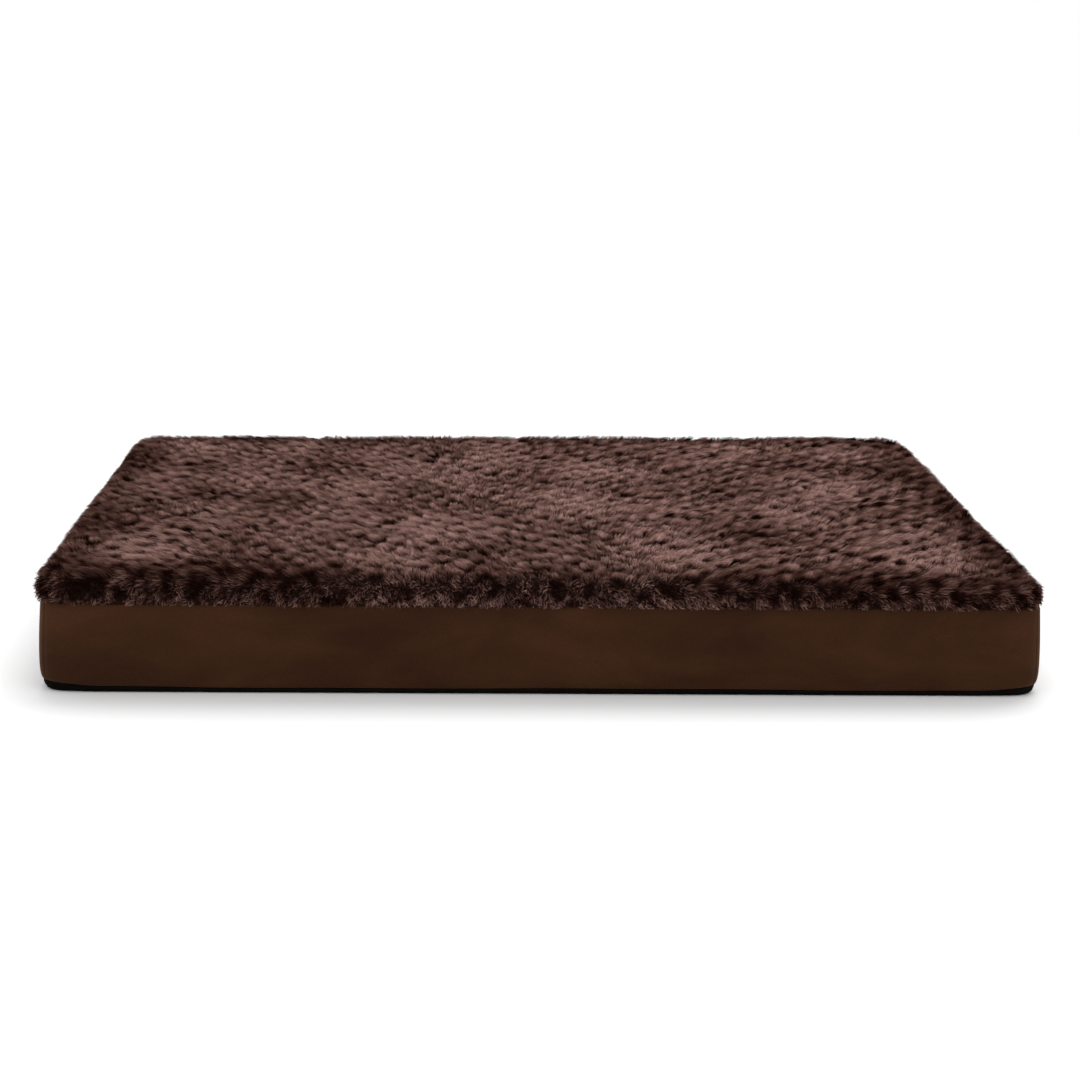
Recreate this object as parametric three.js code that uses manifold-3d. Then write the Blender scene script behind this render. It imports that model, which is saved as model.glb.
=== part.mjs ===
// A mattress-style pet bed: a zipped cover with a long-pile plush top, suede-cloth sides and a
// non-slip base, round a two-layer foam core. Millimetres, +Z up. X runs along the long side, +Y is
// the rear side, which carries the zipper, and the origin is the centre of the underside.
import * as THREE from "three";
import { mergeVertices } from "three/addons/utils/BufferGeometryUtils.js";
import Module from "manifold-3d";

const wasm = await Module();
wasm.setup();

// Driving dimensions
const clearance = 0.3; // left between pieces that touch
const cornerSteps = 8; // straight pieces in a quarter of a circle
const bed = { width: 1118, depth: 889, height: 140, cornerRadius: 32 };
const plush = { thickness: 12, skirt: 40, edgeRadius: 14 };
const suede = { inset: 6, thickness: 1.5 };
const base = { thickness: 1.5, lip: 6, edgeRadius: 5 };
const foam = { inset: 12.5, cornerRadius: 20, floorGap: 0.5, slabTop: 86, topperTop: 127.5 };
const eggCrate = { waveLength: 64, waveHeight: 22 };
const zipper = {
  height: 18, // centre line above the floor
  coilLength: 1000,
  slit: 1.4, // between the two halves
  tapeWidth: 13,
  tapeThickness: 0.8,
  tapeEndSpare: 15,
  coilWidth: 2.5,
  coilHeight: 2.2,
  mouthAbove: 10, // from the centre line up to the suede
  mouthEndSpare: 10,
};
const stop = { length: 4, thickness: 0.9, reach: 3.3, endGap: 1.5, web: 0.35 };
const slider = {
  length: 12,
  wideHalf: 6,
  narrowHalf: 4.7,
  plateThickness: 1.2,
  plateLift: 1, // front plate's inner face above the suede
  flange: 1,
  postThickness: 0.8,
  postLength: 4,
  endGap: 2,
};
const crown = { length: 7, width: 2, leg: 1.2, opening: 2.5, top: 0.9 };
const pull = { length: 26, thickness: 1.2, bar: 1.4, eyeHalf: 2.8, holeHalf: 1.5, holeLength: 4.3, tabHalf: 3.8 };

// Sizes that follow from them
const suedeWidth = bed.width - 2 * suede.inset;
const suedeDepth = bed.depth - 2 * suede.inset;
const suedeRadius = bed.cornerRadius - suede.inset;
const plushBottom = bed.height - plush.skirt;
const foamWidth = bed.width - 2 * foam.inset;
const foamDepth = bed.depth - 2 * foam.inset;
// The zipper's own frame has Y = 0 on the rear suede's outer face and Z = 0 on its centre line.
const tapeFace = -suede.thickness - clearance;
const tapeBack = tapeFace - zipper.tapeThickness;
const coilBack = tapeFace + clearance;
const plateOuter = slider.plateLift + slider.plateThickness;
const sliderTravelHalf = zipper.coilLength / 2 - slider.length / 2 - slider.endGap;

const colours = {
  plush: { color: 0x4f3832, roughness: 0.95, metalness: 0 },
  suede: { color: 0x3a2217, roughness: 0.9, metalness: 0 },
  base: { color: 0x15110f, roughness: 0.85, metalness: 0 },
  slabFoam: { color: 0xd9d2bd, roughness: 0.95, metalness: 0 },
  topperFoam: { color: 0xe9dfae, roughness: 0.95, metalness: 0 },
  tape: { color: 0x2a1912, roughness: 0.85, metalness: 0 },
  coil: { color: 0x24150f, roughness: 0.45, metalness: 0 },
  metal: { color: 0x5a4a3c, roughness: 0.4, metalness: 0.9 },
};

function piece(name, geometry, finish) {
  const mesh = new THREE.Mesh(geometry, new THREE.MeshStandardMaterial(colours[finish]));
  mesh.name = name;
  return mesh;
}

// A closed geometry as a solid that can be joined and cut.
function solidOf(geometry) {
  const bare = geometry.clone();
  bare.deleteAttribute("normal");
  bare.deleteAttribute("uv");
  const merged = mergeVertices(bare, 1e-3);
  const triVerts = new Uint32Array(merged.index.array);
  const vertProperties = merged.attributes.position.array;
  return new wasm.Manifold(new wasm.Mesh({ numProp: 3, vertProperties, triVerts }));
}

function geometryOf(solid) {
  const mesh = solid.getMesh();
  const geometry = new THREE.BufferGeometry();
  geometry.setAttribute("position", new THREE.BufferAttribute(mesh.vertProperties, 3));
  geometry.setIndex(new THREE.BufferAttribute(mesh.triVerts, 1));
  const flat = geometry.toNonIndexed();
  flat.computeVertexNormals();
  return flat;
}

// A box given by its low and high ends along each axis.
function box([x0, x1], [y0, y1], [z0, z1]) {
  const geometry = new THREE.BoxGeometry(x1 - x0, y1 - y0, z1 - z0);
  return geometry.translate((x0 + x1) / 2, (y0 + y1) / 2, (z0 + z1) / 2);
}

function roundedRectangle(width, depth, radius) {
  const x = width / 2 - radius;
  const y = depth / 2 - radius;
  const quarter = Math.PI / 2;
  const shape = new THREE.Shape();
  shape.absarc(x, y, radius, 0, quarter);
  shape.absarc(-x, y, radius, quarter, 2 * quarter);
  shape.absarc(-x, -y, radius, 2 * quarter, 3 * quarter);
  shape.absarc(x, -y, radius, 3 * quarter, 4 * quarter);
  shape.closePath();
  return shape;
}

// An upright block with rounded corners in plan, and its top and bottom edges rounded by edgeRadius.
function block(width, depth, radius, [bottom, top], edgeRadius = 0) {
  const geometry = new THREE.ExtrudeGeometry(roundedRectangle(width, depth, radius), {
    depth: top - bottom - 2 * edgeRadius,
    curveSegments: cornerSteps,
    bevelEnabled: edgeRadius > 0,
    bevelThickness: edgeRadius,
    bevelSize: edgeRadius,
    bevelOffset: -edgeRadius,
    bevelSegments: cornerSteps / 2,
  });
  return geometry.translate(0, 0, bottom + edgeRadius);
}

// A flat outline in X and Z, as thick as the two Y levels are apart.
function uprightPlate(shape, [back, front]) {
  const options = { depth: front - back, bevelEnabled: false, curveSegments: cornerSteps };
  return new THREE.ExtrudeGeometry(shape, options).rotateX(Math.PI / 2).translate(0, front, 0);
}

// The plush is a shallow cap that turns down over the sides. Its thickness takes in the pile.
function plushTop() {
  const outer = block(bed.width, bed.depth, bed.cornerRadius, [0, bed.height], plush.edgeRadius);
  const innerWidth = bed.width - 2 * plush.thickness;
  const innerDepth = bed.depth - 2 * plush.thickness;
  const innerRadius = bed.cornerRadius - plush.thickness;
  const inner = block(innerWidth, innerDepth, innerRadius, [0, bed.height - plush.thickness]);
  const below = box([-bed.width, bed.width], [-bed.depth, bed.depth], [-1, plushBottom]);
  const cap = solidOf(outer).subtract(solidOf(inner)).subtract(solidOf(below));
  return piece("plush_top", geometryOf(cap), "plush");
}

// A strip of suede that stands on its edge, straight along the side and turned 45 degrees round
// the corner at each end. It faces -Y before it is turned to its side.
function suedeStrip(straightHalf) {
  const outer = suedeRadius;
  const inner = suedeRadius - suede.thickness;
  const down = 1.5 * Math.PI;
  const turn = Math.PI / 4 - clearance / 2 / inner;
  const shape = new THREE.Shape();
  shape.absarc(-straightHalf, 0, outer, down - turn, down);
  shape.absarc(straightHalf, 0, outer, down, down + turn);
  shape.absarc(straightHalf, 0, inner, down + turn, down, true);
  shape.absarc(-straightHalf, 0, inner, down, down - turn, true);
  shape.closePath();
  const bottom = base.lip + clearance;
  const depth = plushBottom - clearance - bottom;
  const options = { depth, bevelEnabled: false, curveSegments: cornerSteps / 2 };
  return new THREE.ExtrudeGeometry(shape, options).translate(0, 0, bottom);
}

function sidePanels() {
  const alongX = suedeWidth / 2 - suedeRadius;
  const alongY = suedeDepth / 2 - suedeRadius;
  const sides = [
    { name: "front", straightHalf: alongX, reach: alongY },
    { name: "right", straightHalf: alongY, reach: alongX },
    { name: "rear", straightHalf: alongX, reach: alongY },
    { name: "left", straightHalf: alongY, reach: alongX },
  ];
  return sides.map(({ name, straightHalf, reach }, quarterTurns) => {
    const strip = suedeStrip(straightHalf);
    const panel = piece("side_panel_" + name, name === "rear" ? withZipperMouth(strip) : strip, "suede");
    const angle = (quarterTurns * Math.PI) / 2;
    panel.rotation.z = angle;
    panel.position.set(reach * Math.sin(angle), -reach * Math.cos(angle), 0);
    return panel;
  });
}

// The rear strip is cut back along its lower edge, where the zipper is sewn in.
function withZipperMouth(strip) {
  const half = zipper.coilLength / 2 + zipper.mouthEndSpare;
  const mouth = box([-half, half], [-2 * suedeRadius, 0], [0, zipper.height + zipper.mouthAbove]);
  return geometryOf(solidOf(strip).subtract(solidOf(mouth)));
}

// The base cloth is a shallow tray: a flat bottom that turns up to a low lip under the suede.
function basePanel() {
  const { thickness, lip, edgeRadius } = base;
  const high = 4 * edgeRadius;
  const outer = block(suedeWidth, suedeDepth, suedeRadius, [0, high], edgeRadius);
  const inner = block(
    suedeWidth - 2 * thickness,
    suedeDepth - 2 * thickness,
    suedeRadius - thickness,
    [thickness, high + edgeRadius],
    edgeRadius - thickness,
  );
  const above = box([-bed.width, bed.width], [-bed.depth, bed.depth], [lip, high + 1]);
  const tray = solidOf(outer).subtract(solidOf(inner)).subtract(solidOf(above));
  return piece("base_panel", geometryOf(tray), "base");
}

function supportFoam() {
  const levels = [base.thickness + foam.floorGap, foam.slabTop];
  return piece("support_foam", block(foamWidth, foamDepth, foam.cornerRadius, levels), "slabFoam");
}

// The topper's upper side rises and falls as cos(x) cos(y), from peaks at its full height.
function eggCrateTopper() {
  const wavesX = Math.round(foamWidth / eggCrate.waveLength);
  const wavesY = Math.round(foamDepth / eggCrate.waveLength);
  const bottom = foam.slabTop + clearance;
  const thickness = foam.topperTop - bottom;
  const geometry = new THREE.BoxGeometry(foamWidth, foamDepth, thickness, 2 * wavesX, 2 * wavesY, 1);
  const position = geometry.attributes.position;
  for (let i = 0; i < position.count; i++) {
    if (position.getZ(i) > 0) {
      const alongX = Math.cos((2 * Math.PI * wavesX * position.getX(i)) / foamWidth);
      const alongY = Math.cos((2 * Math.PI * wavesY * position.getY(i)) / foamDepth);
      position.setZ(i, thickness / 2 - (eggCrate.waveHeight / 2) * (1 - alongX * alongY));
    }
  }
  geometry.translate(0, 0, bottom + thickness / 2);
  const outline = block(foamWidth, foamDepth, foam.cornerRadius, [0, bed.height]);
  return piece("egg_crate_topper", geometryOf(solidOf(geometry).intersect(solidOf(outline))), "topperFoam");
}

// One half of the zipper, above (side = 1) or below (side = -1) its centre line.
function zipperHalf(side, place) {
  const between = (low, high) => [side * low, side * high].sort((a, b) => a - b);
  const near = zipper.slit / 2;
  const coilEnd = zipper.coilLength / 2;
  const tapeEnd = coilEnd + zipper.tapeEndSpare;
  const tape = box([-tapeEnd, tapeEnd], [tapeBack, tapeFace], between(near, zipper.tapeWidth));
  const coilLevels = [coilBack, coilBack + zipper.coilHeight];
  const coil = box([-coilEnd, coilEnd], coilLevels, between(near, near + zipper.coilWidth));
  return [
    piece("zipper_tape_" + place, tape, "tape"),
    piece("zipper_coil_" + place, coil, "coil"),
    piece("zipper_top_stop_" + place, topStop(between), "metal"),
  ];
}

// A metal clip folded round the inner edge of one tape, past the closed end of the coil.
function topStop(between) {
  const start = zipper.coilLength / 2 + stop.endGap;
  const along = [start, start + stop.length];
  const web = zipper.slit / 2 - clearance;
  const far = zipper.slit / 2 + stop.reach;
  const front = tapeFace + clearance;
  const back = tapeBack - clearance;
  const spine = box(along, [back - stop.thickness, front + stop.thickness], between(web - stop.web, web));
  const frontLeg = box(along, [front, front + stop.thickness], between(web - stop.web, far));
  const backLeg = box(along, [back - stop.thickness, back], between(web - stop.web, far));
  return geometryOf(solidOf(spine).add(solidOf(frontLeg)).add(solidOf(backLeg)));
}

// A metal staple through both tapes at the open end.
function bottomStop() {
  const start = -zipper.coilLength / 2 - stop.endGap;
  const along = [start - stop.length, start];
  const half = zipper.slit / 2 + stop.reach;
  const web = zipper.slit / 2 - clearance;
  const front = tapeFace + clearance;
  const back = tapeBack - clearance;
  const spine = box(along, [back - stop.thickness, front + stop.thickness], [-web, web]);
  const frontLeg = box(along, [front, front + stop.thickness], [-half, half]);
  const backLeg = box(along, [back - stop.thickness, back], [-half, half]);
  const staple = solidOf(spine).add(solidOf(frontLeg)).add(solidOf(backLeg));
  return piece("zipper_bottom_stop", geometryOf(staple), "metal");
}

// The plates' outline, wider at the end that spreads the coils apart.
function shield() {
  const { wideHalf, narrowHalf } = slider;
  const end = slider.length / 2;
  const round = 1.6;
  const shape = new THREE.Shape();
  shape.moveTo(-end, round - narrowHalf);
  shape.quadraticCurveTo(-end, -narrowHalf, round - end, -narrowHalf);
  shape.lineTo(end - round, -wideHalf);
  shape.quadraticCurveTo(end, -wideHalf, end, round - wideHalf);
  shape.lineTo(end, wideHalf - round);
  shape.quadraticCurveTo(end, wideHalf, end - round, wideHalf);
  shape.lineTo(round - end, narrowHalf);
  shape.quadraticCurveTo(-end, narrowHalf, -end, narrowHalf - round);
  shape.closePath();
  return shape;
}

// A rim under the front plate that keeps one coil half in the slider's channel.
function sliderFlange(side) {
  const start = 2 - slider.length / 2;
  const end = slider.length / 2 - 2;
  const shape = new THREE.Shape();
  shape.moveTo(start, side * (slider.narrowHalf - slider.flange));
  shape.lineTo(end, side * (slider.wideHalf - slider.flange - 0.3));
  shape.lineTo(end, side * (slider.wideHalf - 0.3));
  shape.lineTo(start, side * slider.narrowHalf);
  shape.closePath();
  return uprightPlate(shape, [coilBack, slider.plateLift + slider.plateThickness / 2]);
}

// The arch on the front plate that the pull hooks through.
function crownArch() {
  const half = crown.length / 2;
  const top = crown.opening + crown.top;
  const round = 1.2;
  const sunk = -slider.plateThickness / 2;
  const shape = new THREE.Shape();
  shape.moveTo(-half, sunk);
  shape.lineTo(crown.leg - half, sunk);
  shape.lineTo(crown.leg - half, crown.opening);
  shape.lineTo(half - crown.leg, crown.opening);
  shape.lineTo(half - crown.leg, sunk);
  shape.lineTo(half, sunk);
  shape.lineTo(half, top - round);
  shape.quadraticCurveTo(half, top, half - round, top);
  shape.lineTo(round - half, top);
  shape.quadraticCurveTo(-half, top, -half, top - round);
  shape.closePath();
  // The opening is closed at its foot by the plate, so the arch starts inside it.
  const options = { depth: crown.width, bevelEnabled: false, curveSegments: cornerSteps };
  return new THREE.ExtrudeGeometry(shape, options).translate(0, plateOuter, -crown.width / 2);
}

function zipperSlider() {
  const backOuter = tapeBack - clearance;
  const front = uprightPlate(shield(), [slider.plateLift, plateOuter]);
  const back = uprightPlate(shield(), [backOuter - slider.plateThickness, backOuter]);
  const postEnd = slider.length / 2 - 0.5;
  const postHalf = slider.postThickness / 2;
  const postLevels = [backOuter - slider.plateThickness / 2, plateOuter - slider.plateThickness / 2];
  const post = box([postEnd - slider.postLength, postEnd], postLevels, [-postHalf, postHalf]);
  const body = [back, post, sliderFlange(1), sliderFlange(-1), crownArch()].reduce(
    (sum, part) => sum.add(solidOf(part)),
    solidOf(front),
  );
  return piece("zipper_slider", geometryOf(body), "metal");
}

// The pull lies along the closed zipper. Its bar, at X = 0, turns inside the crown.
function pullTab() {
  const { bar, eyeHalf, holeHalf, holeLength, tabHalf, length, thickness } = pull;
  const holeStart = -bar / 2;
  const holeEnd = holeStart - holeLength;
  const roundCentre = tabHalf - length;
  const shape = new THREE.Shape();
  shape.moveTo(bar / 2, -eyeHalf);
  shape.lineTo(bar / 2, eyeHalf);
  shape.lineTo(holeEnd, eyeHalf);
  shape.quadraticCurveTo(holeEnd - 2, eyeHalf, holeEnd - 4, tabHalf);
  shape.absarc(roundCentre, 0, tabHalf, Math.PI / 2, 1.5 * Math.PI);
  shape.lineTo(holeEnd - 4, -tabHalf);
  shape.quadraticCurveTo(holeEnd - 2, -eyeHalf, holeEnd, -eyeHalf);
  shape.closePath();
  const hole = new THREE.Path();
  hole.moveTo(holeStart, -holeHalf);
  hole.lineTo(holeEnd, -holeHalf);
  hole.lineTo(holeEnd, holeHalf);
  hole.lineTo(holeStart, holeHalf);
  hole.closePath();
  shape.holes.push(hole);
  return piece("zipper_pull", uprightPlate(shape, [-thickness / 2, thickness / 2]), "metal");
}

// The slider stands at the closed end, +X, with its narrow end towards the closed coil.
function sliderWithPull() {
  const group = new THREE.Group();
  const tab = pullTab();
  tab.position.y = plateOuter + crown.opening / 2;
  group.add(zipperSlider(), tab);
  group.position.x = sliderTravelHalf;
  return group;
}

function rearZipper() {
  const group = new THREE.Group();
  group.add(...zipperHalf(1, "upper"), ...zipperHalf(-1, "lower"), bottomStop(), sliderWithPull());
  group.position.set(0, suedeDepth / 2, zipper.height);
  return group;
}

const petBed = new THREE.Group();
petBed.add(plushTop(), ...sidePanels(), basePanel(), supportFoam(), eggCrateTopper(), rearZipper());

export default petBed;
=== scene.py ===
import bpy
import bmesh
import math
import numpy as np
from mathutils import Matrix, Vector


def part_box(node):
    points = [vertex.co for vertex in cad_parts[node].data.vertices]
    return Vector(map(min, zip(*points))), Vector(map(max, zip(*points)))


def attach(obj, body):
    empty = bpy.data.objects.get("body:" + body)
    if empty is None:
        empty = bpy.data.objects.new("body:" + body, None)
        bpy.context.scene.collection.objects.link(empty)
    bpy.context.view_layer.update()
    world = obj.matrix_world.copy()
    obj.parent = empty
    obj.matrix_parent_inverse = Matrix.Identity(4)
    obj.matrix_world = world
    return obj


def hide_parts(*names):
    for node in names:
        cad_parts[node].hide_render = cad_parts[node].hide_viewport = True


# A mattress-style pet bed: plush cap, suede-cloth sides, dark base cloth, rear zipper, foam core.
# Metres, +Z up, front towards -Y, zipper at +Y.

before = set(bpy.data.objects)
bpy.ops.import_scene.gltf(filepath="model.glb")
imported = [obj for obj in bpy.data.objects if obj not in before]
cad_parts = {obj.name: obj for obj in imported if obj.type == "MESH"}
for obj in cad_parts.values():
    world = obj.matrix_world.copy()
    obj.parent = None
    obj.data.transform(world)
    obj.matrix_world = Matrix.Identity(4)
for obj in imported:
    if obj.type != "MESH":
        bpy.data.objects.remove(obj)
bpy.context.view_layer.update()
root = "cover_and_core"
mm = 0.001

capLow, capHigh = (np.array(v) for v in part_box("plush_top"))
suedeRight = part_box("side_panel_right")[1][0]
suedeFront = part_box("side_panel_front")[0][1]
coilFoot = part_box("zipper_coil_upper")[0][2]
halfSlit = 0.7 * mm  # from the zipper's centre line to a coil's box

capHalf = capHigh[:2]  # half width and half depth over the pile
suedeHalf = np.array([suedeRight, -suedeFront])  # the same over the suede
seamHeight = capLow[2]  # where plush meets suede
zipHeight = coilFoot - halfSlit  # the zipper's centre line


def placeObject(name, data):
    made = bpy.data.objects.new(name, data)
    bpy.context.scene.collection.objects.link(made)
    return made


def linkMesh(name, points, faces, uv=None, smooth=True):
    # points (n, 3) and faces (m, corners) become one object; uv is one pair per face corner
    faces = np.asarray(faces, dtype=np.int32)
    mesh = bpy.data.meshes.new(name)
    mesh.vertices.add(len(points))
    mesh.vertices.foreach_set("co", np.asarray(points, dtype=np.float32).ravel())
    mesh.loops.add(faces.size)
    mesh.loops.foreach_set("vertex_index", faces.ravel())
    mesh.polygons.add(len(faces))
    starts = np.arange(0, faces.size, faces.shape[1], dtype=np.int32)
    mesh.polygons.foreach_set("loop_start", starts)
    mesh.polygons.foreach_set("use_smooth", np.full(len(faces), smooth))
    if uv is not None:
        layer = mesh.uv_layers.new(name="OFBake")
        layer.data.foreach_set("uv", np.asarray(uv, dtype=np.float32).ravel())
    mesh.update(calc_edges=True)
    return placeObject(name, mesh)


def gridFaces(rows, columns, wrap=False):
    # quads between neighbouring rows and columns; wrap joins the last column to the first
    across = columns if wrap else columns - 1
    row, column = np.meshgrid(np.arange(rows - 1), np.arange(across), indexing="ij")
    after = (column + 1) % columns
    quads = np.stack([row * columns + column, row * columns + after,
                      (row + 1) * columns + after, (row + 1) * columns + column], -1)
    return quads.reshape(-1, 4)


def repeatFaces(faces, corners, count):
    # the faces of one small mesh with this many corners, for this many copies of it
    first = corners * np.arange(count)
    return (faces[None] + first[:, None, None]).reshape(-1, faces.shape[1])


def flatGrid(half, step):
    # the points of a grid over a rectangle, and its numbers of rows and columns
    xs, ys = (np.linspace(-h, h, int(2 * h / step) + 1) for h in half)
    p = np.stack(np.meshgrid(xs, ys, indexing="ij"), -1)
    return p.reshape(-1, 2), len(xs), len(ys)


def tubeFaces(rings, sides):
    # quads between rings that each have this many points
    index = np.arange(rings * sides).reshape(rings, sides)
    after = np.roll(index, -1, 1)
    return np.stack([index[:-1], index[1:], after[1:], after[:-1]], -1).reshape(-1, 4)


def unit(v):
    # vectors scaled to length 1
    return v / np.maximum(np.linalg.norm(v, axis=-1, keepdims=True), 1e-12)


def smoothStep(value, low, high):
    # 0 below low, 1 above high, and 3 t^2 - 2 t^3 between them
    t = np.clip((value - low) / (high - low), 0, 1)
    return t * t * (3 - 2 * t)


def waves(x, y, size, seed, count=7):
    # smooth noise of about +-1: a sum of sine waves in seeded directions, each about `size` long
    rng = np.random.default_rng(seed)
    total = np.zeros(np.broadcast(x, y).shape)
    for _ in range(count):
        angle, phase = rng.uniform(0, 2 * np.pi, 2)
        turns = 2 * np.pi / (size * rng.uniform(0.7, 1.5))
        total += np.sin(turns * (x * np.cos(angle) + y * np.sin(angle)) + phase)
    return total / math.sqrt(count / 2) / 1.6


def finishPiece(piece, material, replaced=(), body=root):
    # one material, the body it rides on, its material slot and the CAD nodes that it stands for
    piece.data.materials.clear()
    piece.data.materials.append(material)
    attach(piece, body)
    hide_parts(*replaced)


def thicken(piece, thickness):
    # cloth as thick as this, inwards from the face that is modelled
    solid = piece.modifiers.new("thickness", "SOLIDIFY")
    solid.thickness = thickness
    solid.offset = -1


def newMaterial(name, roughness, sheen=0.0, sheenTint=(1, 1, 1), sheenRoughness=0.5, metallic=0.0,
                specular=0.3):
    material = bpy.data.materials.new(name)
    material.use_nodes = True
    shader = material.node_tree.nodes["Principled BSDF"]
    shader.inputs["Roughness"].default_value = roughness
    shader.inputs["Metallic"].default_value = metallic
    shader.inputs["Specular IOR Level"].default_value = specular
    shader.inputs["Sheen Weight"].default_value = sheen
    shader.inputs["Sheen Tint"].default_value = (*sheenTint, 1)
    shader.inputs["Sheen Roughness"].default_value = sheenRoughness
    return material, material.node_tree


def addNode(tree, kind, links=(), **values):
    # values go to attributes or to input sockets of the same name; links are (input, output socket)
    node = tree.nodes.new(kind)
    for key, value in values.items():
        if key in node.bl_rna.properties:
            setattr(node, key, value)
        else:
            node.inputs[key.replace("_", " ")].default_value = value
    for socket, source in links:
        tree.links.new(node.inputs[socket], source)
    return node


def colourRamp(tree, factor, stops):
    # stops are (position, colour) from low to high
    node = tree.nodes.new("ShaderNodeValToRGB")
    ramp = node.color_ramp
    while len(ramp.elements) < len(stops):
        ramp.elements.new(0.5)
    for element, (position, colour) in zip(ramp.elements, stops):
        element.position = position
        element.color = (*colour, 1)
    tree.links.new(node.inputs["Fac"], factor)
    return node.outputs["Color"]


def multiply(tree, a, b):
    # sockets 6 and 7 are the Mix node's colour inputs, and 2 is its colour output
    node = tree.nodes.new("ShaderNodeMix")
    node.data_type = "RGBA"
    node.blend_type = "MULTIPLY"
    node.inputs["Factor"].default_value = 1.0
    tree.links.new(node.inputs[6], a)
    tree.links.new(node.inputs[7], b)
    return node.outputs[2]


def objectCoordinates(tree):
    return tree.nodes.new("ShaderNodeTexCoord").outputs["Object"]


def finishMaterial(material, colour, height=None, strength=0.0, distance=0.0):
    # the colour, and where a height is given, bumps of this strength and distance
    tree = material.node_tree
    shader = tree.nodes["Principled BSDF"]
    tree.links.new(shader.inputs["Base Color"], colour)
    if height is not None:
        bump = addNode(tree, "ShaderNodeBump", [("Height", height)],
                       Strength=strength, Distance=distance)
        tree.links.new(shader.inputs["Normal"], bump.outputs["Normal"])
    return material


pileLook = {
    # from root to tip: the light tips are the pile's own colour; the near-black root and dark
    # middle are painted shade deep in the pile
    "root": (0.012, 0.004, 0.0026),
    "middle": (0.075, 0.035, 0.027),
    "upper": (0.165, 0.086, 0.071),
    "tip": (0.24, 0.133, 0.113),
    # the shade of a lock, painted shade and light included, multiplies those, from the darkest
    # locks to the lightest
    "shades": ((0.04, 0.02, 0.014), (0.2, 0.13, 0.105), (1.0, 0.95, 0.93), (2.0, 2.15, 2.2),
               (3.1, 3.55, 3.7)),
}


def pileMaterial():
    # a lock is dark at its root, partly as painted shade deep in the pile, and light at its tip;
    # U holds the lock's shade, painted shade and light included, and V runs from root to tip
    material, tree = newMaterial("curlyPlush", 1.0, specular=0.0)
    uv = addNode(tree, "ShaderNodeUVMap", uv_map="OFBake")
    split = addNode(tree, "ShaderNodeSeparateXYZ", [("Vector", uv.outputs["UV"])])
    stops = [(0.0, pileLook["root"]), (0.35, pileLook["middle"]),
             (0.75, pileLook["upper"]), (1.0, pileLook["tip"])]
    along = colourRamp(tree, split.outputs["Y"], stops)
    shades = list(zip((0.0, 0.25, 0.5, 0.75, 1.0), pileLook["shades"]))
    shade = colourRamp(tree, split.outputs["X"], shades)
    return finishMaterial(material, multiply(tree, along, shade))


def noiseColour(tree, scale, detail, dark, light):
    # soft noise that runs from a dark colour to a light one
    noise = addNode(tree, "ShaderNodeTexNoise", [("Vector", objectCoordinates(tree))],
                    Scale=scale, Detail=detail)
    return noise.outputs["Fac"], colourRamp(tree, noise.outputs["Fac"], [(0.3, dark), (0.7, light)])


def backingMaterial():
    material, tree = newMaterial("plushBacking", 1.0, specular=0.0)
    # very dark: painted shade at the foot of the pile, where it shows between the locks, over the
    # backing's own dark brown
    noise, colour = noiseColour(tree, 180.0, 3.0, (0.006, 0.003, 0.0025), (0.02, 0.010, 0.008))
    return finishMaterial(material, colour, noise, 0.6, 2 * mm)


suedeLook = {
    "dark": (0.026, 0.0092, 0.0036),
    "mid": (0.036, 0.0132, 0.0052),
    "light": (0.046, 0.0176, 0.0072),
}


def suedeMaterial():
    # brushed nap: broad soft blotches of light and dark nap over a very fine grain
    material, tree = newMaterial("suedeCloth", 0.9, sheen=0.12, sheenTint=(0.8, 0.42, 0.25),
                                 sheenRoughness=0.45, specular=0.08)
    place = objectCoordinates(tree)
    stretched = addNode(tree, "ShaderNodeMapping", [("Vector", place)], Scale=(1.0, 1.0, 2.2))
    blotch = addNode(tree, "ShaderNodeTexNoise", [("Vector", stretched.outputs["Vector"])],
                     Scale=7.0, Detail=5.0, Roughness=0.55, Distortion=0.4)
    grain = addNode(tree, "ShaderNodeTexNoise", [("Vector", place)], Scale=900.0, Detail=2.0)
    stops = [(0.32, suedeLook["dark"]), (0.5, suedeLook["mid"]), (0.68, suedeLook["light"])]
    broad = colourRamp(tree, blotch.outputs["Fac"], stops)
    fine = colourRamp(tree, grain.outputs["Fac"], [(0.35, (0.86,) * 3), (0.65, (1.12,) * 3)])
    colour = multiply(tree, broad, fine)
    return finishMaterial(material, colour, grain.outputs["Fac"], 0.35, 0.6 * mm)


def weaveHeight(tree, pitch):
    # plain weave: the product of two sets of sine bands at right angles
    bands = []
    for direction in ("X", "Y"):
        band = addNode(tree, "ShaderNodeTexWave", [("Vector", objectCoordinates(tree))],
                       bands_direction=direction, Scale=1 / pitch / 3.2, Distortion=0.4)
        bands.append(band.outputs["Fac"])
    links = [(0, bands[0]), (1, bands[1])]
    return addNode(tree, "ShaderNodeMath", links, operation="MULTIPLY").outputs[0]


def baseMaterial():
    material, tree = newMaterial("nonSlipBase", 0.85, specular=0.04)
    weave = weaveHeight(tree, 1.6 * mm)
    broad = noiseColour(tree, 25.0, 4.0, (0.0026, 0.0018, 0.0014), (0.0048, 0.0034, 0.0028))[1]
    # darker where the weave is low: painted shade between the threads
    fine = colourRamp(tree, weave, [(0.1, (0.7,) * 3), (0.8, (1.3,) * 3)])
    return finishMaterial(material, multiply(tree, broad, fine), weave, 0.5, 0.4 * mm)


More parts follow.
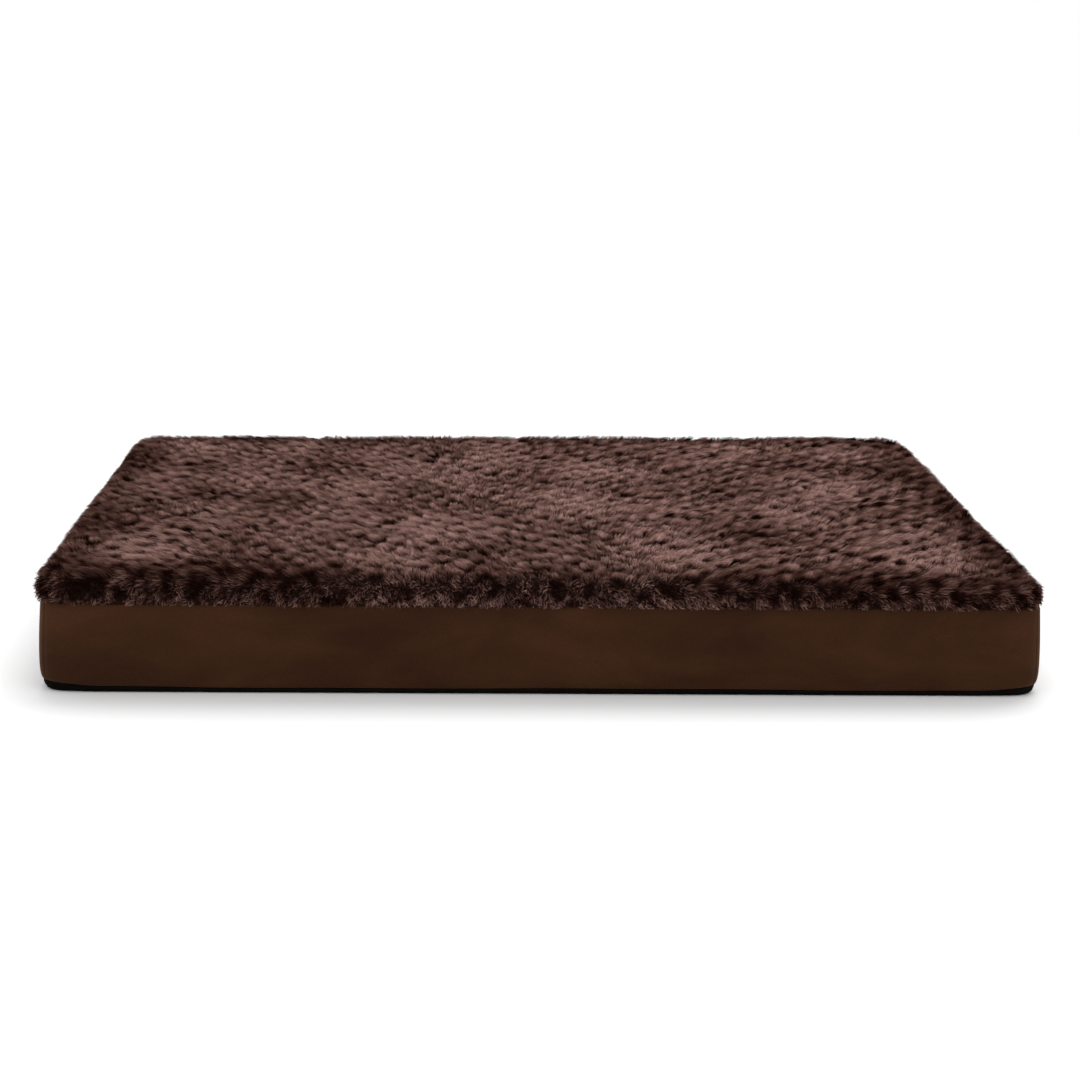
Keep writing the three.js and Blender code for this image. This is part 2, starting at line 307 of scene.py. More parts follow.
def foamMaterial(name, dark, light, cell):
    material, tree = newMaterial(name, 0.95, specular=0.15)
    cells = addNode(tree, "ShaderNodeTexVoronoi", [("Vector", objectCoordinates(tree))],
                    Scale=1 / cell)
    broad = noiseColour(tree, 14.0, 3.0, dark, light)[1]
    # darker towards the middle of each cell: painted shade in the pores
    paintedPoreShade = colourRamp(tree, cells.outputs["Distance"], [(0.0, (0.55,) * 3), (0.35, (1, 1, 1))])
    colour = multiply(tree, broad, paintedPoreShade)
    return finishMaterial(material, colour, cells.outputs["Distance"], 0.6, 1 * mm)


def tapeMaterial():
    material, tree = newMaterial("zipperTape", 0.8, sheen=0.2, specular=0.2)
    ribs = addNode(tree, "ShaderNodeTexWave", [("Vector", objectCoordinates(tree))],
                   bands_direction="X", Scale=520.0, Distortion=0.6)
    broad = noiseColour(tree, 60.0, 3.0, (0.016, 0.008, 0.005), (0.028, 0.014, 0.009))[1]
    # darker in the valleys between the ribs: painted shade
    fine = colourRamp(tree, ribs.outputs["Fac"], [(0.0, (0.6,) * 3), (0.7, (1.25,) * 3)])
    colour = multiply(tree, broad, fine)
    return finishMaterial(material, colour, ribs.outputs["Fac"], 0.5, 0.3 * mm)


def threadMaterial(name, roughness, scale, dark, light, **look):
    # for the sewing thread and the coil's monofilament
    material, tree = newMaterial(name, roughness, **look)
    return finishMaterial(material, noiseColour(tree, scale, 2.0, dark, light)[1])


def enamelMaterial():
    material, tree = newMaterial("bronzeEnamel", 0.38, metallic=0.85, specular=0.5)
    noise = addNode(tree, "ShaderNodeTexNoise", [("Vector", objectCoordinates(tree))],
                    Scale=900.0, Detail=4.0).outputs["Fac"]
    stops = [(0.3, (0.082, 0.06, 0.041)), (0.75, (0.125, 0.093, 0.066))]
    colour = colourRamp(tree, noise, stops)
    rough = addNode(tree, "ShaderNodeMapRange", [("Value", noise)], To_Min=0.28, To_Max=0.5)
    tree.links.new(tree.nodes["Principled BSDF"].inputs["Roughness"], rough.outputs["Result"])
    return finishMaterial(material, colour, noise, 0.08, 0.3 * mm)


cap = {
    "pile": 9.5 * mm,  # height of the pile over its backing
    "edgeRadius": 14 * mm,  # of the backing, where it turns down
    "cornerFlat": 18 * mm,  # plan radius of the flat part's corners
    "sideInset": 7.5 * mm,  # backing's upright part inside the pile's outer face
    "crown": 4 * mm,  # the most that the cloth may rise
    "pressure": 1.2,
    # how far the filling lifts the left and right end, at the front and then at the rear
    "lift": ((2 * mm, -8 * mm), (-1 * mm, 8 * mm)),
    "simulationStep": 14 * mm,
    "step": 5.5 * mm,
    "thickness": 1.2 * mm,  # of the backing cloth
    "seamSpare": 0.1 * mm,  # left above the seam
}
flatHalf = capHalf - cap["sideInset"] - cap["edgeRadius"]
rollLength = cap["edgeRadius"] * np.pi / 2
backingTop = capHigh[2] - cap["pile"] + 0.5 * mm
dropLength = backingTop - cap["edgeRadius"] - seamHeight - cap["seamSpare"]
bandLength = rollLength + dropLength
reachOut = flatHalf + bandLength  # half size of the whole cap laid flat
capRise = {}  # filled in by raiseCap


def roundedDistance(p, half, radius):
    # signed distance outwards from a rounded rectangle, and the outward direction
    q = np.abs(p) - (half - radius)
    outer = np.linalg.norm(np.maximum(q, 0), axis=-1)
    inner = np.minimum(q.max(-1), 0)
    sideways = np.where((q[..., 0] > q[..., 1])[..., None], [1.0, 0.0], [0.0, 1.0])
    direction = np.where((outer > 1e-9)[..., None], unit(np.maximum(q, 0)), sideways)
    return outer + inner - radius, direction * np.where(p < 0, -1.0, 1.0)


def readGrid(p, table):
    # bilinear reading of a table laid over the flattened cap
    rows, columns = table.shape[:2]
    at = (p / reachOut + 1) / 2 * (np.array([rows, columns]) - 1)
    low = np.clip(np.floor(at).astype(int), 0, [rows - 2, columns - 2])
    part = np.clip(at - low, 0, 1)
    i, j = low[:, 0], low[:, 1]
    a, b = part[:, :1], part[:, 1:]
    return (table[i, j] * (1 - a) * (1 - b) + table[i + 1, j] * a * (1 - b)
            + table[i, j + 1] * (1 - a) * b + table[i + 1, j + 1] * a * b)


def fullness(x, y):
    # the lift at a place, shared between the four ends
    right, back = 0.5 + 0.5 * x / capHalf[0], 0.5 + 0.5 * y / capHalf[1]
    (frontLeft, frontRight), (rearLeft, rearRight) = cap["lift"]
    return (frontLeft * (1 - right) + frontRight * right) * (1 - back) + (
        rearLeft * (1 - right) + rearRight * right) * back


def capSurface(p):
    # the cap laid flat is a plane; past its flat part it turns a quarter circle and drops straight
    distance, outward = roundedDistance(p, flatHalf, cap["cornerFlat"])
    beyond = np.maximum(distance, 0)
    angle = np.minimum(beyond / cap["edgeRadius"], np.pi / 2)
    drop = np.maximum(beyond - rollLength, 0)
    out = cap["edgeRadius"] * np.sin(angle)
    plan = p - outward * beyond[:, None] + outward * out[:, None]
    x, y = plan[:, 0], plan[:, 1]
    height = backingTop - cap["edgeRadius"] * (1 - np.cos(angle)) - drop
    rise = smoothStep(height, seamHeight + 8 * mm, backingTop)
    z = height + rise * (0.8 * mm * waves(x, y, 0.17, 11) + fullness(x, y))
    points = np.concatenate([plan, z[:, None]], -1)
    if capRise:
        points = points + readGrid(p, capRise["table"])
    outUp = np.concatenate([outward * np.cos(angle)[:, None], -np.sin(angle)[:, None]], -1)
    normal = np.concatenate([outward * np.sin(angle)[:, None], np.cos(angle)[:, None]], -1)
    along = np.stack([-outward[:, 1], outward[:, 0], np.zeros_like(x)], -1)
    return points, normal, outward, outUp, along


def capGrid(step):
    # a square grid over the flattened cap, its rim drawn in to the hem line
    p, rows, columns = flatGrid(reachOut, step)
    distance, outward = roundedDistance(p, flatHalf, cap["cornerFlat"])
    return p - outward * np.maximum(distance - bandLength, 0)[:, None], rows, columns


def puffed(name, points, faces, held, pressure, most, stiffness):
    # a thin cloth blown out between its held points for twenty frames, with no gravity;
    # each point's shift is softened so that none moves further than `most`
    piece = linkMesh(name, points, faces)
    pins = piece.vertex_groups.new(name="pins")
    pins.add(np.nonzero(held)[0].tolist(), 1.0, "REPLACE")
    cloth = piece.modifiers.new("cloth", "CLOTH").settings
    cloth.quality = 6
    cloth.mass = 0.3
    cloth.tension_stiffness = cloth.compression_stiffness = stiffness
    cloth.shear_stiffness = stiffness / 2
    cloth.bending_stiffness = 1.5
    cloth.vertex_group_mass = "pins"
    cloth.use_pressure = True
    cloth.uniform_pressure_force = pressure
    cloth.effector_weights.gravity = 0
    scene = bpy.context.scene
    for step in range(1, 21):
        scene.frame_set(step)
    shaped = piece.evaluated_get(bpy.context.evaluated_depsgraph_get())
    moved = np.zeros(len(points) * 3, np.float32)
    shaped.data.vertices.foreach_get("co", moved)
    shift = moved.reshape(-1, 3) - points
    size = np.linalg.norm(shift, axis=1, keepdims=True)
    print(name, "moved by up to", round(float(size.max()) / mm, 1), "mm")
    bpy.data.objects.remove(piece)
    scene.frame_set(1)
    return shift * most * np.tanh(size / most) / np.maximum(size, 1e-9)


def raiseCap():
    # the crown of the cap: its cloth under pressure from the foam, held at the hem
    p, rows, columns = capGrid(cap["simulationStep"])
    points = capSurface(p)[0]
    held = points[:, 2] < seamHeight + 6 * mm
    faces = gridFaces(rows, columns)
    shift = puffed("capTrial", points, faces, held, cap["pressure"], cap["crown"], stiffness=15)
    capRise["table"] = shift.reshape(rows, columns, 3)


def plushBacking(material):
    # the backing cloth with the dense foot of the pile, heaped a little where the pile is
    p, rows, columns = capGrid(cap["step"])
    points, normal = capSurface(p)[:2]
    heap = hollows(p)[0]
    rim = smoothStep(points[:, 2], seamHeight + 1 * mm, seamHeight + 6 * mm)
    points = points + normal * (rim * (2 * mm + 1.6 * mm * heap))[:, None]
    piece = linkMesh("plush_backing", points, gridFaces(rows, columns))
    thicken(piece, cap["thickness"])
    finishPiece(piece, material, ["plush_top"])


pile = {
    "cell": 46 * mm,  # the hollows repeat after this, with one more in the middle
    "warp": 11 * mm,  # how far the pattern wanders
    "part": 6 * mm,  # how far the tips part from a hollow
    "swirl": 3 * mm,  # and turn round it
    "tuft": 9 * mm,  # the locks gather in tufts of this size
    "gather": 0.35,  # share of the way that a tip goes to the middle of its tuft
    "tuftLean": 2.2 * mm,  # each tuft leans its own way by up to this
    "curl": 2.2 * mm,
    "nap": (12 * mm, 2.5 * mm),  # how far the tips lie over, along and across the bed
    "hang": 2.2 * mm,  # how far the locks on the skirt fall
    "loose": 0.05,  # share of the locks that are longer and thinner
    "seamRows": 9 * mm,  # the locks get shorter over this last part, down to the seam
    "tilesAlong": 4,
    "seed": 5,
    # for each kind of lock: spacing, half width, stations along it, and where it begins and ends,
    # from the middle of the cap (well below 0) over the turned edge (0) to the hem (1)
    "hair": (2.18 * mm, 0.58 * mm, (0.2, 1.0), (-20, 1.0)),
    "wisp": (5.2 * mm, 0.85 * mm, (0.0, 0.55, 1.0), (-20, 0.25)),
    "curlyWisp": (2.8 * mm, 0.76 * mm, (0.0, 0.4, 0.75, 1.0), (0.25, 1.0)),
    # what makes a lock lighter or darker, painted shade and light among it, on a scale from 0 dark
    # to 1 light
    "heapShade": 0.66,
    # painted shade in the hollows of the pile, and painted light on its heaps
    "paintedHollowShade": -0.60,
    "paintedCrestLight": 0.12,
    "patches": (0.22, 19 * mm),  # strength and length
    "broad": (0.16, 200 * mm),
    "tuftShade": (0.10, 0.08),  # and this much more on the skirt
    "ownShade": 0.05,
    # painted light: a lighter band along the middle
    "middle": (0.10, 0.28),  # lighter near x = 0, and the distance over which that fades
    # painted shade: right of the parting the nap lies the other way and catches less light
    "rearRight": -0.07,  # darker to the right of the parting, towards the rear
    # painted shade: the turned-down skirt and a strip of the top before the turned edge are painted
    # darker, a little less towards the seam
    "paintedSkirtShade": -0.18,
    "rim": (78 * mm, 10 * mm),  # which sets in between these distances from the turned edge
    "hemShade": 0.12,  # a little lighter again towards the seam
}


def hollows(p):
    # the pattern of the pile: +1 on its heaps, -1 in its hollows, and the direction uphill:
    # the mean of two cosines along the diagonals, on coordinates that wander a little
    x = p[:, 0] + pile["warp"] * waves(p[:, 0], p[:, 1], 0.12, 51)
    y = p[:, 1] + pile["warp"] * waves(p[:, 0], p[:, 1], 0.12, 52)
    first = 2 * np.pi * (x + y) / pile["cell"]
    second = 2 * np.pi * (x - y) / pile["cell"]
    heap = (np.cos(first) + np.cos(second)) / 2
    uphill = -np.stack([np.sin(first) + np.sin(second), np.sin(first) - np.sin(second)], -1) / 2
    strength = 0.80 + 0.42 * waves(p[:, 0], p[:, 1], 0.08, 53)
    return heap * strength, uphill * strength[:, None]


def tufts(p, size, seed):
    # the nearest point of a jittered square grid: the way to it and three random numbers of its own
    reach = reachOut + 2 * size
    table = np.random.default_rng(seed).random((*np.ceil(2 * reach / size).astype(int), 5))
    cell = np.floor((p + reach) / size).astype(int)
    nearest = np.full(len(p), np.inf)
    way, own = np.zeros_like(p), np.zeros((len(p), 3))
    for i in (-1, 0, 1):
        for j in (-1, 0, 1):
            values = table[cell[:, 0] + i, cell[:, 1] + j]
            toward = (cell + [i, j] + values[:, :2]) * size - reach - p
            away = np.linalg.norm(toward, axis=1)
            closer = away < nearest
            nearest = np.where(closer, away, nearest)
            way = np.where(closer[:, None], toward, way)
            own = np.where(closer[:, None], values[:, 2:], own)
    return way, own * 2 - 1


def lockRoots(rng, spacing, low, high):
    # a jittered grid over the flattened cap between two distances from its flat part,
    # thinned where the corners fold together
    xs, ys = (np.arange(-r, r, spacing) for r in reachOut)
    roots = np.stack(np.meshgrid(xs, ys), -1).reshape(-1, 2)
    roots = roots + rng.uniform(-0.55, 0.55, roots.shape) * spacing
    distance, outward = roundedDistance(roots, flatHalf, cap["cornerFlat"])
    beyond = np.maximum(distance, 0)
    angle = np.minimum(beyond / cap["edgeRadius"], np.pi / 2)
    folded = cap["cornerFlat"] + cap["edgeRadius"] * np.sin(angle)
    slanted = np.abs(outward).min(-1) > 0.02
    share = np.where(slanted & (beyond > 0), folded / (cap["cornerFlat"] + beyond), 1)
    return roots[(distance >= low) & (distance < high) & (rng.random(len(roots)) < share)]


def napAt(p):
    # how far the tips lie over: away from a wandering parting near x = 0, and towards the front
    x, y = p.T
    brushed = np.tanh(8 * (x + 0.03 - 0.12 * waves(x, y, 0.5, 23)))
    along = brushed * (0.8 + 0.4 * waves(x, y, 0.15, 21))
    return np.stack([along, -0.5 + waves(x, y, 0.15, 22)], -1) * pile["nap"]


def lockShade(rng, tips, distance, skirt, ownTuft):
    # by the place where the tip lies: painted shade in the hollows and painted light on the heaps,
    # two sizes of noise, the tuft and the lock itself, then painted light along the middle, painted
    # shade right of the parting at the rear and on the skirt
    x, y = tips.T
    heap = hollows(tips)[0]
    # painted shade in the hollows
    shade = pile["paintedHollowShade"] * smoothStep(-heap, 0.1, 0.6) * (1 - 0.4 * skirt)
    shade += pile["heapShade"]
    # painted light on the heaps, painted shade towards the hollows
    shade += pile["paintedCrestLight"] * np.tanh(2 * heap)
    shade += pile["patches"][0] * waves(x, y, pile["patches"][1], 32, 11)
    shade += pile["broad"][0] * waves(x, y, pile["broad"][1], 31)
    shade += (pile["tuftShade"][0] + pile["tuftShade"][1] * skirt) * ownTuft
    shade += rng.normal(0, pile["ownShade"], len(tips)) * (1 + 1.6 * skirt)
    # painted light along the middle
    shade += pile["middle"][0] * (np.exp(-(x / pile["middle"][1]) ** 2) - 0.5)
    # painted shade right of the parting, towards the rear
    rearRight = smoothStep(x, -0.05, 0.0) * smoothStep(-x, -0.45, -0.2) * smoothStep(y, 0.0, 0.3)
    shade += pile["rearRight"] * rearRight
    # painted shade over the skirt and the strip of top before the turned edge, eased towards the
    # seam
    dark = smoothStep(distance, -pile["rim"][0], -pile["rim"][1])
    hem = pile["hemShade"] * smoothStep(distance, 0.5 * bandLength, bandLength)
    shade += dark * (pile["paintedSkirtShade"] + hem - 0.35 * (shade - 0.5))
    return np.clip(shade, 0.05, 0.95)


def pileLocks(rng, roots, stations, halfWidth):
    # each lock is a three-sided tapering spike along a bent path, with a ring of three points at
    # every station but the last, which is its tip
    count = len(roots)
    distance, outward = roundedDistance(roots, flatHalf, cap["cornerFlat"])
    skirt = smoothStep(distance, 0.25 * rollLength, 1.1 * rollLength)
    heap, uphill = hollows(roots)
    around = np.stack([-uphill[:, 1], uphill[:, 0]], -1)
    turn = rng.uniform(0, 2 * np.pi, count)
    curl = np.stack([np.cos(turn), np.sin(turn)], -1)
    curl *= (pile["curl"] * rng.uniform(0.3, 1.2, count) * (1 + skirt))[:, None]
    loose = rng.random(count) < pile["loose"]
    high = cap["pile"] * (0.98 + 0.05 * heap - 0.3 * smoothStep(-heap, 0.4, 0.9))
    high *= rng.uniform(0.85, 1.12, count) * np.where(loose, 1.2, 1.0)
    leftSide = smoothStep(-roots[:, 0], 0.9 * flatHalf[0], reachOut[0]) * skirt
    rightSide = smoothStep(roots[:, 0], 0.9 * flatHalf[0], reachOut[0]) * skirt
    high *= (1 + 0.12 * leftSide - 0.2 * rightSide)
    wide = halfWidth * rng.uniform(0.7, 1.25, count) * np.where(loose, 0.5, 1.0) * (1 - 0.2 * skirt)

    # tufts are half as large on the skirt
    way, own = tufts(roots, pile["tuft"], 61)
    small = tufts(roots, 0.5 * pile["tuft"], 62)
    onSkirt = (skirt > 0.5)[:, None]
    way, own = np.where(onSkirt, small[0], way), np.where(onSkirt, small[1], own)
    turned = smoothStep(distance, -0.8 * rollLength, 0.6 * rollLength)
    lean = uphill * pile["part"] * (1 - 0.9 * turned)[:, None]
    lean += napAt(roots) * (1 - 0.8 * skirt)[:, None]
    gathered = way * pile["gather"] + own[:, :2] * pile["tuftLean"]
    lean += gathered * (1 + 0.2 * skirt)[:, None] + outward * (skirt * pile["hang"])[:, None]
    short = smoothStep(distance, bandLength - pile["seamRows"], bandLength)
    high *= (1 + (0.05 + 0.12 * skirt) * own[:, 2]) * (1 - 0.4 * short)
    room = bandLength - distance + rng.exponential(0.6 * mm, count) * skirt  # down to the seam
    shade = lockShade(rng, roots + 0.9 * lean, distance, skirt, own[:, 2])

    # the path leans, swirls and curls more towards its tip, and rises as a sine of its station
    base, normal, outward, outUp, along = capSurface(roots)
    swirl = around * (pile["swirl"] * (1 - 0.7 * skirt))[:, None]
    path = []
    for t in stations:
        move = lean * t ** 1.3 + swirl * t ** 1.7 + curl * t ** 2
        onOut = np.minimum((move * outward).sum(-1), np.where(skirt > 0, room, 1))
        onAlong = move[:, 1] * outward[:, 0] - move[:, 0] * outward[:, 1]
        rise = high * math.sin(0.5 * math.pi * t ** 0.8) - 0.8 * mm * (t == stations[0])
        over = outUp * onOut[:, None] + along * onAlong[:, None]
        path.append(base + over + normal * rise[:, None])
    path = np.stack(path, 1)

    tangent = unit(np.gradient(path, axis=1))[:, :-1]
    side = unit(np.cross(tangent, normal[:, None, :] + 0.2 * along[:, None, :]))
    lift = np.cross(side, tangent)
    taper = 1 - 0.95 * stations[:-1] ** 2.2
    corner = np.radians([90, 210, 330])[:, None]
    ring = np.cos(corner) * side[:, :, None] + 0.6 * np.sin(corner) * lift[:, :, None]
    ring = path[:, :-1, None, :] + ring * (wide[:, None] * taper)[..., None, None]
    return np.concatenate([ring.reshape(count, -1, 3), path[:, -1:]], 1), shade


def lockFaces(rings):
    # the root's triangle, two triangles for each side between rings, and three to the tip
    faces = [(0, 2, 1)]
    for ring in range(0, 3 * (rings - 1), 3):
        for k in range(3):
            a, b = ring + k, ring + (k + 1) % 3
            faces += [(a, b, b + 3), (a, b + 3, a + 3)]
    last = 3 * (rings - 1)
    faces += [(last + k, last + (k + 1) % 3, last + 3) for k in range(3)]
    return np.array(faces)


def pileTiles(material):
    # the pile in tiles, some along the bed and two across it; u is a lock's shade, v the station
    rng = np.random.default_rng(pile["seed"])
    tiles = {}
    total = 0
    for kind in ("hair", "wisp", "curlyWisp"):
        spacing, halfWidth, stations, (low, high) = pile[kind]
        stations = np.array(stations)
        roots = lockRoots(rng, spacing, low * bandLength, high * (bandLength - 1.5 * mm))
        points, shade = pileLocks(rng, roots, stations, halfWidth)
        faces = lockFaces(len(stations) - 1)
        along = np.append(np.repeat(stations[:-1], 3), 1.0) * 0.96 + 0.02
        across = np.append(np.tile([0.0, 0.045, -0.045], len(stations) - 1), 0.0)
        column = ((roots[:, 0] / reachOut[0] + 1) / 2 * pile["tilesAlong"]).astype(int)
        tile = np.clip(column, 0, pile["tilesAlong"] - 1) + pile["tilesAlong"] * (roots[:, 1] > 0)
        total += len(roots) * len(faces)
        for k in range(2 * pile["tilesAlong"]):
            these = points[tile == k]
            index = repeatFaces(faces, points.shape[1], len(these))
            u = shade[tile == k][:, None] + across
            uv = np.stack([u, np.broadcast_to(along, u.shape)], -1)[:, faces].reshape(-1, 2)
            tiles.setdefault(k, []).append((these.reshape(-1, 3), index, uv))
    for k, parts in tiles.items():
        points, index, uv = zip(*parts)
        starts = np.cumsum([0] + [len(part) for part in points])
        index = [part + start for part, start in zip(index, starts)]
        row, column = divmod(k, pile["tilesAlong"])
        name = f"pile_{('front', 'rear')[row]}_{column + 1}"
        piece = linkMesh(name, *(np.concatenate(part) for part in (points, index, uv)))
        finishPiece(piece, material, ["plush_top"])
    print("pile:", total, "triangles")


suede = {
    "planRadius": 26 * mm,
    "thickness": 1.3 * mm,
    "columnStep": 9 * mm,
    "cornerTuck": 5 * mm,  # how far the foot is drawn in at a corner
    "sideTuck": 3 * mm,  # and along a side
    "tuckHeight": 20 * mm,
    "topRoll": 2.4 * mm,  # the edge turned in at the plush seam
    "topRollHeight": 3 * mm,
    "footHeight": 7 * mm,
    "cornerFoot": 4 * mm,  # extra height of the base seam at a corner
    "allowance": 8 * mm,
    "pressure": 3.0,
    "puff": 1.6 * mm,
    "seamDip": 1 * mm,  # how far the seam at a corner lies in
    "flare": 3 * mm,  # the sides stand out a little lower down
    "mouthTuck": 0.3 * mm,  # the foot's tuck along the zipper's opening
    "mouthHalf": 510 * mm,
    "mouthTop": 28 * mm,
}
suedeTop = seamHeight - 0.15 * mm


def nearCorner(plan):
    # 0 along the sides, rising to 1 at the corners
    share = smoothStep(np.abs(plan) / suedeHalf, 0.88, 0.99)
    return share[:, 0] * share[:, 1]


def sideColumns(turn):
    # one side from corner middle to corner middle, at a turn of quarter circles from the front:
    # plan points and outward directions along a straight run and half of each corner's arc
    half = suedeHalf - suede["planRadius"]
    run, reach = half if turn % 2 == 0 else half[::-1]
    arc = suede["planRadius"] * np.pi / 4
    end = run + arc
    seam = np.array([0, 0.4, 1.1, 2.2, 4]) * mm  # closer columns beside the seam at each corner
    between = np.linspace(-end + 9 * mm, end - 9 * mm, int(2 * end / suede["columnStep"]))
    s = np.concatenate([seam - end, between, end - seam[::-1]])
    if turn == 2:
        edge = np.argmin(np.abs(s + suede["mouthHalf"]))  # a column at each end of the opening
        s[edge], s[-1 - edge] = -suede["mouthHalf"], suede["mouthHalf"]
    bend = np.sign(s) * np.maximum(np.abs(s) - run, 0) / suede["planRadius"]
    local = np.stack([np.clip(s, -run, run) + suede["planRadius"] * np.sin(bend),
                      reach + suede["planRadius"] * np.cos(bend)], -1)
    facing = turn * np.pi / 2 - np.pi / 2
    out = np.array([round(math.cos(facing)), round(math.sin(facing))])
    side = np.array([-out[1], out[0]])
    plan = local[:, :1] * side + local[:, 1:] * out
    outward = np.sin(bend)[:, None] * side + np.cos(bend)[:, None] * out
    beside = np.clip(1 - (end - np.abs(s)) / (3 * mm), 0, 1)
    groove = suede["seamDip"] * (1 - np.sqrt(1 - beside ** 2))
    return plan, outward, groove


def sideSheet(turn):
    # rows from the allowance inside the foot, up the outside, to the allowance inside the top;
    # the foot and the top edge curve inwards as quarter ellipses
    plan, outward, groove = sideColumns(turn)
    corner = nearCorner(plan)
    mouth = (turn == 2) & (np.abs(plan[:, 0]) < suede["mouthHalf"] + 5 * mm)
    wavy = np.where(mouth, 0, 0.5 * mm * waves(plan[:, 0], plan[:, 1], 0.3, 41))
    foot = suede["footHeight"] + corner * suede["cornerFoot"] + wavy
    tuck = suede["sideTuck"] + corner * (suede["cornerTuck"] - suede["sideTuck"])
    if turn == 2:
        away = smoothStep(np.abs(plan[:, 0]), suede["mouthHalf"], 0.54)
        tuck = suede["mouthTuck"] + (tuck - suede["mouthTuck"]) * away
    flare = suede["flare"] * (1 - smoothStep(outward[:, 1], 0.3, 0.9))
    mouthShare = (suede["mouthTop"] - suede["footHeight"]) / (suedeTop - suede["footHeight"])
    below = [0, 0.02, 0.05, 0.09, 0.15, mouthShare]  # rows are closer at the foot and the top
    above = [0.31, 0.4, 0.5, 0.6, 0.7, 0.8, 0.88, 0.93, 0.962, 0.982, 0.994, 1]
    z = foot + (suedeTop - foot) * np.array(below + above)[:, None]
    low = np.clip(1 - (z - foot) / suede["tuckHeight"], 0, 1)
    high = np.clip(1 - (suedeTop - z) / suede["topRollHeight"], 0, 1)
    inward = tuck * (1 - np.sqrt(1 - low ** 2)) + suede["topRoll"] * (1 - np.sqrt(1 - high ** 2))
    inward = inward + groove - flare * np.sin(np.pi / 2 * np.clip((suedeTop - z) / 0.07, 0, 1))
    tuck = tuck - flare
    inFoot = tuck + np.array([[2.6], [2.6], [1.6]]) * mm
    zFoot = foot + np.array([[suede["allowance"]], [1.5 * mm], [0.2 * mm]])
    inTop = suede["topRoll"] + np.array([[1.3], [1.9], [1.9]]) * mm + 0 * foot
    zTop = suedeTop - np.array([[0.05 * mm], [0.9 * mm], [suede["allowance"]]]) + 0 * foot
    z = np.concatenate([zFoot, z, zTop])
    inward = np.concatenate([inFoot, inward, inTop])
    points = np.concatenate([plan[None] - outward[None] * inward[..., None], z[..., None]], -1)
    return points, outward, foot


def puffSides(sheets):
    # the four sides as one closed band, blown out between the base seam, zipper and plush seam
    band = np.concatenate([points[:, :-1] for points, _, _ in sheets], 1)
    rows, columns = band.shape[:2]
    flat = band.reshape(-1, 3)
    row = np.repeat(np.arange(rows), columns)
    mouth = (flat[:, 1] > suedeHalf[1] - 12 * mm) & (flat[:, 2] < suede["mouthTop"] + 8 * mm)
    mouth = mouth & (np.abs(flat[:, 0]) < suede["mouthHalf"] + 12 * mm)
    corner = np.zeros(columns, bool)
    corner[np.cumsum([0] + [points.shape[1] - 1 for points, _, _ in sheets[:-1]])] = True
    held = (row <= 4) | (row >= rows - 5) | mouth | np.tile(corner, rows)
    shift = puffed("sideTrial", flat, gridFaces(rows, columns, wrap=True), held, suede["pressure"],
                   suede["puff"], 12)
    band = (flat + shift).reshape(rows, columns, 3)
    shaped, start = [], 0
    for points, outward, foot in sheets:
        wide = points.shape[1]
        shaped.append((band[:, np.arange(start, start + wide) % columns], outward, foot))
        start += wide - 1
    return shaped


def suedePanels(material, sheets):
    # one piece for each side, the rear one open at the zipper; its flat size is its height with
    # both allowances by its length along the middle row
    for name, (points, _, _) in zip(("front", "right", "rear", "left"), sheets):
        rows, columns = points.shape[:2]
        faces = gridFaces(rows, columns)
        if name == "rear":
            middle = points.reshape(-1, 3)[faces].mean(1)
            beside = np.abs(middle[:, 0]) > suede["mouthHalf"]
            faces = faces[beside | (middle[:, 2] > suede["mouthTop"])]
        used, faces = np.unique(faces, return_inverse=True)
        piece = linkMesh("suede_" + name, points.reshape(-1, 3)[used], faces.reshape(-1, 4))
        thicken(piece, suede["thickness"])
        soft = piece.modifiers.new("soft", "SUBSURF")
        soft.levels = soft.render_levels = 1
        finishPiece(piece, material, ["side_panel_" + name])
        tall = float(suedeTop - suede["footHeight"] + 2 * suede["allowance"] + 6 * mm)
        long = float(np.linalg.norm(np.diff(points[rows // 2], axis=0), axis=1).sum())
        area = tall * long
        if name == "rear":
            opening = suede["mouthTop"] - suede["footHeight"] + suede["allowance"]
            area -= 2 * suede["mouthHalf"] * opening


base = {
    "thickness": 1.2 * mm,
    "sideRoll": 5 * mm,  # how far the lip curves under along a side
    "cornerRoll": 7 * mm,
    "clearance": 0.2 * mm,
}


def baseCloth(material, sheets):
    # from the foot of the suede the cloth rolls under in a quarter ellipse, then lies flat
    edge = np.concatenate([points[3, :-1] for points, _, _ in sheets])
    outward = np.concatenate([out[:-1] for _, out, _ in sheets])
    roll = base["sideRoll"] + nearCorner(edge[:, :2]) * (base["cornerRoll"] - base["sideRoll"])
    lip = edge[:, 2] - 0.3 * mm
    rings = []
    for angle in np.radians([0, 20, 40, 58, 75, 90]):
        plan = edge[:, :2] - outward * (roll * (1 - math.cos(angle)))[:, None]
        z = base["clearance"] + (lip - base["clearance"]) * (1 - math.sin(angle))
        rings.append(np.concatenate([plan, z[:, None]], 1))
    flat = np.full((len(edge), 1), base["clearance"])
    for share in (0.97, 0.9, 0.75, 0.5, 0.25, 0.02):
        rings.append(np.concatenate([rings[5][:, :2] * share, flat], 1))
    rows, columns = len(rings), len(edge)
    points = np.concatenate(rings + [np.array([[0, 0, base["clearance"]]])])
    bands = gridFaces(rows, columns, wrap=True)[:, ::-1]
    last = (rows - 1) * columns + np.arange(columns)
    fan = np.stack([np.full(columns, rows * columns), np.roll(last, -1), last], -1)
    mesh = bpy.data.meshes.new("base_cloth")
    mesh.from_pydata(points.tolist(), [], bands.tolist() + fan.tolist())
    mesh.polygons.foreach_set("use_smooth", np.full(len(mesh.polygons), True))
    piece = placeObject("base_cloth", mesh)
    thicken(piece, base["thickness"])
    finishPiece(piece, material, ["base_panel"])


